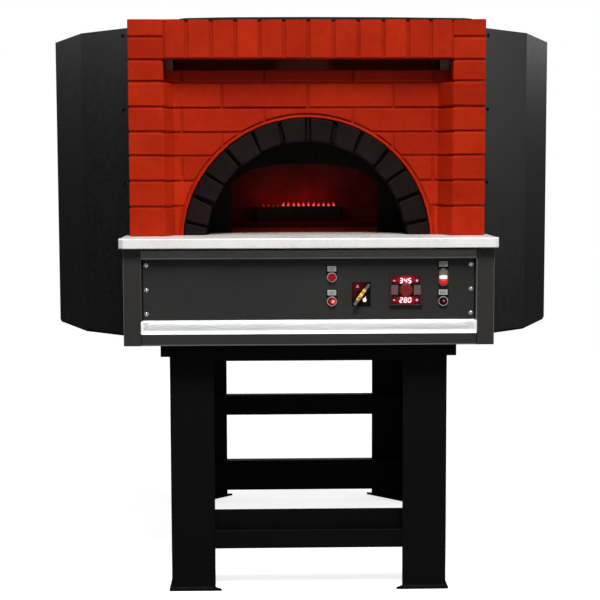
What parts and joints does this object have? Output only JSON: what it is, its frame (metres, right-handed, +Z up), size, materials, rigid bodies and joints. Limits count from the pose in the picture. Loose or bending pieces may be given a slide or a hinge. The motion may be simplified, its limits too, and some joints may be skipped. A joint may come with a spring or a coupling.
{
  "type": "stone-hearth pizza oven",
  "caption": "Pizza oven with a brick arch front, round stone chamber in a faceted steel jacket, marble shelf, control panel with burner controls, and a black steel leg stand.",
  "frame": {"origin": "on the floor, at the centre of the plan box", "axes": "+X to the right seen from the front, +Y from the arch towards the back, +Z up"},
  "size_m": [1.695, 1.8, 1.757],
  "materials": {
    "stand": "satin black powder coat on welded steel",
    "jacket": "fine satin black powder coat on sheet",
    "box_paint": "warm dark grey semi-gloss powder coat",
    "panel_paint": "dark grey satin powder coat",
    "zinc": "dull galvanised sheet",
    "stainless": "brushed stainless steel",
    "screws": "bright domed steel screws, black on the jacket",
    "bezel": "polished metal bezel",
    "marble": "polished white stone, stands in for marble",
    "legend": "engraved plastic legend plate",
    "red_plastic": "red push button",
    "lit_plastic": "red push button, lit from inside",
    "dark_red_plastic": "dark red push button",
    "green_plastic": "grey-green push button",
    "lens_plastic": "white lens, lit from inside",
    "pointer": "amber pointer handle",
    "case_plastic": "black moulded plastic",
    "display": "dark red display window",
    "knob_plastic": "dark knurled knob",
    "key_plastic": "grey keys",
    "brick": "orange-red painted brick, matte and slightly rough",
    "mortar": "dark red joints",
    "arch_stone": "charcoal coloured arch stone, matte and rough",
    "refractory_dark": "sooty refractory",
    "threshold_stone": "pale refractory stone",
    "hearth_stone": "fire-clay tiles",
    "refractory": "cast refractory",
    "insulation": "ceramic fibre and lightweight insulating fill",
    "burner_steel": "heat-tinted stainless steel",
    "brass_pipe": "brass valve and pipe"
  },
  "bodies": {
    "oven": {"leg_front_left": "stand", "leg_front_right": "stand", "leg_rear_left": "stand", "leg_rear_right": "stand", "foot_plates": "stand", "front_lower_beam": "stand", "rear_lower_beam": "stand", "rear_upper_crossbar": "stand", "front_top_beam": "stand", "rear_top_beam": "stand", "side_top_beams": "stand", "stand_bolts": "zinc", "base_pan": "jacket", "side_panel_left": "box_paint", "side_panel_right": "box_paint", "top_rail": "box_paint", "bottom_rail": "box_paint", "control_panel": "panel_paint", "slot_tray": "stainless", "control_box": "zinc", "marble_shelf": "marble", "dome_screws": "screws", "legend_plates": "legend", "button_bezels": "bezel", "twin_button_body": "bezel", "twin_lens": "lens_plastic", "controller_case": "case_plastic", "controller_displays": "display", "contact_blocks": "case_plastic", "pillar_left": "brick", "pillar_right": "brick", "lintel": "brick", "recess_wall": "brick", "mortar_backing": "mortar", "voussoirs": "arch_stone", "tunnel_lining": "refractory_dark", "threshold": "threshold_stone", "mouth_frame": "refractory_dark", "cladding_left": "jacket", "cladding_right": "jacket", "top_cover": "jacket", "hearth_base": "insulation", "hearth_tiles": "hearth_stone", "chamber_wall": "refractory", "dome": "refractory", "insulation": "insulation", "burner": "burner_steel", "gas_train": "brass_pipe", "smoke_hood": "zinc", "flue_collar": "stainless", "cable_gland": "case_plastic"},
    "red_button": {"red_button": "red_plastic"},
    "lit_button": {"lit_button": "lit_plastic"},
    "dark_button": {"dark_button": "dark_red_plastic"},
    "twin_upper": {"twin_button_upper": "green_plastic"},
    "twin_lower": {"twin_button_lower": "red_plastic"},
    "selector": {"selector_knob": "pointer"},
    "set_knob": {"controller_knob": "knob_plastic"},
    "left_key": {"key_left": "key_plastic"},
    "right_key": {"key_right": "key_plastic"}
  },
  "joints": [
    {"name": "red_button_press", "type": "slide", "parent": "oven", "child": "red_button", "axis": [0, 1, 0], "range_m": [0, 0.0035], "stiffness_N_per_m": 400, "springref_m": -0.002},
    {"name": "lit_button_press", "type": "slide", "parent": "oven", "child": "lit_button", "axis": [0, 1, 0], "range_m": [0, 0.0035], "stiffness_N_per_m": 400, "springref_m": -0.002},
    {"name": "dark_button_press", "type": "slide", "parent": "oven", "child": "dark_button", "axis": [0, 1, 0], "range_m": [0, 0.0035], "stiffness_N_per_m": 400, "springref_m": -0.002},
    {"name": "twin_upper_press", "type": "slide", "parent": "oven", "child": "twin_upper", "axis": [0, 1, 0], "range_m": [0, 0.003], "stiffness_N_per_m": 400, "springref_m": -0.002},
    {"name": "twin_lower_press", "type": "slide", "parent": "oven", "child": "twin_lower", "axis": [0, 1, 0], "range_m": [0, 0.003], "stiffness_N_per_m": 400, "springref_m": -0.002},
    {"name": "selector_turn", "type": "hinge", "parent": "oven", "child": "selector", "pos_m": [0.156, -0.855, 0.92], "axis": [0, -1, 0], "range_deg": [0, 90]},
    {"name": "set_knob_turn", "type": "hinge", "parent": "oven", "child": "set_knob", "pos_m": [0.289, -0.86, 0.9326], "axis": [0, -1, 0], "continuous": true},
    {"name": "left_key_press", "type": "slide", "parent": "oven", "child": "left_key", "axis": [0, 1, 0], "range_m": [0, 0.0015], "stiffness_N_per_m": 300, "springref_m": -0.001},
    {"name": "right_key_press", "type": "slide", "parent": "oven", "child": "right_key", "axis": [0, 1, 0], "range_m": [0, 0.0015], "stiffness_N_per_m": 300, "springref_m": -0.001}
  ]
}
